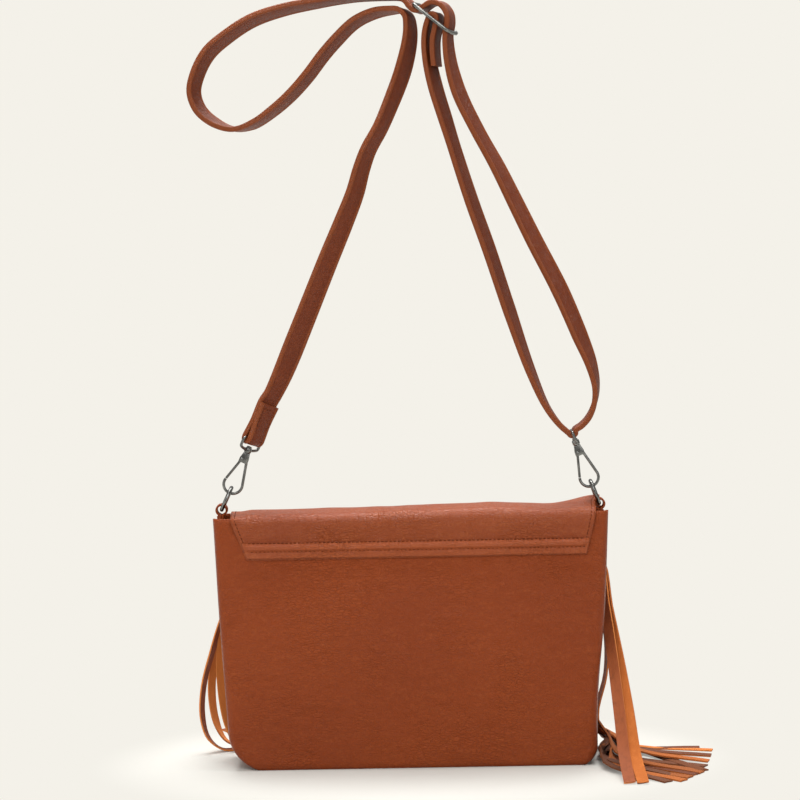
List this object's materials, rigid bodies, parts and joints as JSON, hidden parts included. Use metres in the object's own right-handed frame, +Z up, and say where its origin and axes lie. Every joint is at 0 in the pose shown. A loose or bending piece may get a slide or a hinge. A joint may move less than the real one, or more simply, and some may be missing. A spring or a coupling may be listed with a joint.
{
  "type": "fringed shoulder bag",
  "caption": "Soft brown leather shoulder bag with a fold-over flap seamed to the back, long cut fringe and a clip-on adjustable strap",
  "frame": {"origin": "on the floor under the middle of the bag's flat base", "axes": "+Z up; +X to the right seen from the back, as in the picture; +Y towards the fringed front, -Y the seamed back"},
  "size_m": [0.362, 0.2099, 0.5396],
  "materials": {
    "body_leather": "smooth fine-grained saddle-brown leather",
    "strap_leather": "smooth brown leather strap",
    "fringe_leather": "smooth brown face with orange-tan suede on the flesh side",
    "lining_cloth": "plain dark brown woven lining",
    "hardware": "polished dark gunmetal plating"
  },
  "bodies": {
    "bag": {"back_panel": "body_leather", "front_panel": "body_leather", "gusset": "body_leather", "lining": "lining_cloth", "flap": "body_leather", "flap_seam_strip": "body_leather", "snap_socket": "hardware", "snap_stud": "hardware", "fringe": "fringe_leather", "left_ring_tab": "body_leather", "right_ring_tab": "body_leather", "left_hook_eye": "hardware", "right_hook_eye": "hardware", "shoulder_strap": "strap_leather", "strap_slider": "hardware"},
    "left_ring": {"left_ring": "hardware"},
    "left_hook": {"left_hook_body": "hardware", "left_gate_pin": "hardware"},
    "left_gate": {"left_hook_gate": "hardware"},
    "right_ring": {"right_ring": "hardware"},
    "right_hook": {"right_hook_body": "hardware", "right_gate_pin": "hardware"},
    "right_gate": {"right_hook_gate": "hardware"}
  },
  "joints": [
    {"name": "left_ring_swing", "type": "hinge", "parent": "bag", "child": "left_ring", "pos_m": [-0.1331, 0, 0.181], "axis": [0, 1, 0], "range_deg": [-7, 7]},
    {"name": "left_hook_swivel", "type": "hinge", "parent": "bag", "child": "left_hook", "pos_m": [-0.11362, 0, 0.22278], "axis": [0.4226, 0, 0.9063], "range_deg": [-28, 28]},
    {"name": "left_gate_open", "type": "hinge", "parent": "left_hook", "child": "left_gate", "pos_m": [-0.11815, 0, 0.21684], "axis": [0, -1, 0], "range_deg": [0, 24], "stiffness_Nm_per_rad": 0.02, "springref_deg": -11.46},
    {"name": "right_ring_swing", "type": "hinge", "parent": "bag", "child": "right_ring", "pos_m": [0.1331, 0, 0.181], "axis": [0, 1, 0], "range_deg": [-7, 7]},
    {"name": "right_hook_swivel", "type": "hinge", "parent": "bag", "child": "right_hook", "pos_m": [0.11733, 0, 0.22432], "axis": [-0.342, 0, 0.9397], "range_deg": [-28, 28]},
    {"name": "right_gate_open", "type": "hinge", "parent": "right_hook", "child": "right_gate", "pos_m": [0.11833, 0, 0.21691], "axis": [0, -1, 0], "range_deg": [0, 24], "stiffness_Nm_per_rad": 0.02, "springref_deg": -11.46}
  ]
}
